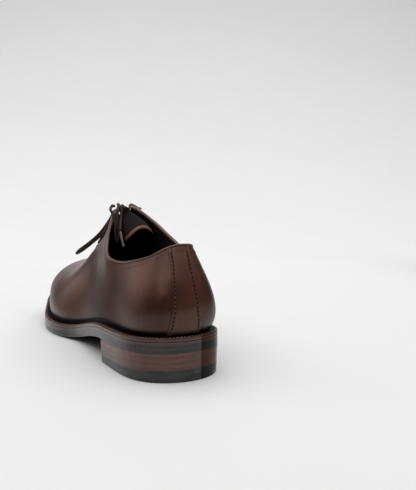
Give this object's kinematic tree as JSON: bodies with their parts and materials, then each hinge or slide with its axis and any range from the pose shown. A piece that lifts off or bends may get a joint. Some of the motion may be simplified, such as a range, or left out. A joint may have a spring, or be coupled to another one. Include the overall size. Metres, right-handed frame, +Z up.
{
  "type": "oxford shoe",
  "caption": "Whole cut leather oxford for the left foot, with a welted sole, a stacked heel and a tied bow",
  "frame": {"origin": "middle of the heel's tread along its length, on the floor, in the heel's mid plane", "axes": "+X from heel to toe, +Y to the outer side of the foot, +Z up"},
  "size_m": [0.3049, 0.1035, 0.1191],
  "materials": {
    "calf": "burnished",
    "collar_edge": "satin",
    "sole_leather": "waxed edge",
    "rubber": "satin",
    "stack": "polished edge",
    "lining": "matt",
    "lace": "waxed",
    "lace_tip": "satin"
  },
  "bodies": {
    "root": {"top_piece": "rubber", "heel_lift_1": "stack", "heel_lift_2": "stack", "heel_lift_3": "stack", "outsole": "rubber", "midsole": "sole_leather", "welt": "sole_leather", "insole": "lining", "upper": "calf", "collar_binding": "collar_edge", "back_strip": "calf", "tongue": "lining", "lace_bar_1": "lace", "lace_bar_2": "lace", "lace_bar_3": "lace", "lace_bar_4": "lace", "lace_bar_5": "lace", "lace_knot": "lace", "lace_loop_1": "lace", "lace_loop_2": "lace", "lace_end_1": "lace", "lace_tip_1": "lace_tip", "lace_end_2": "lace", "lace_tip_2": "lace_tip"}
  },
  "joints": []
}
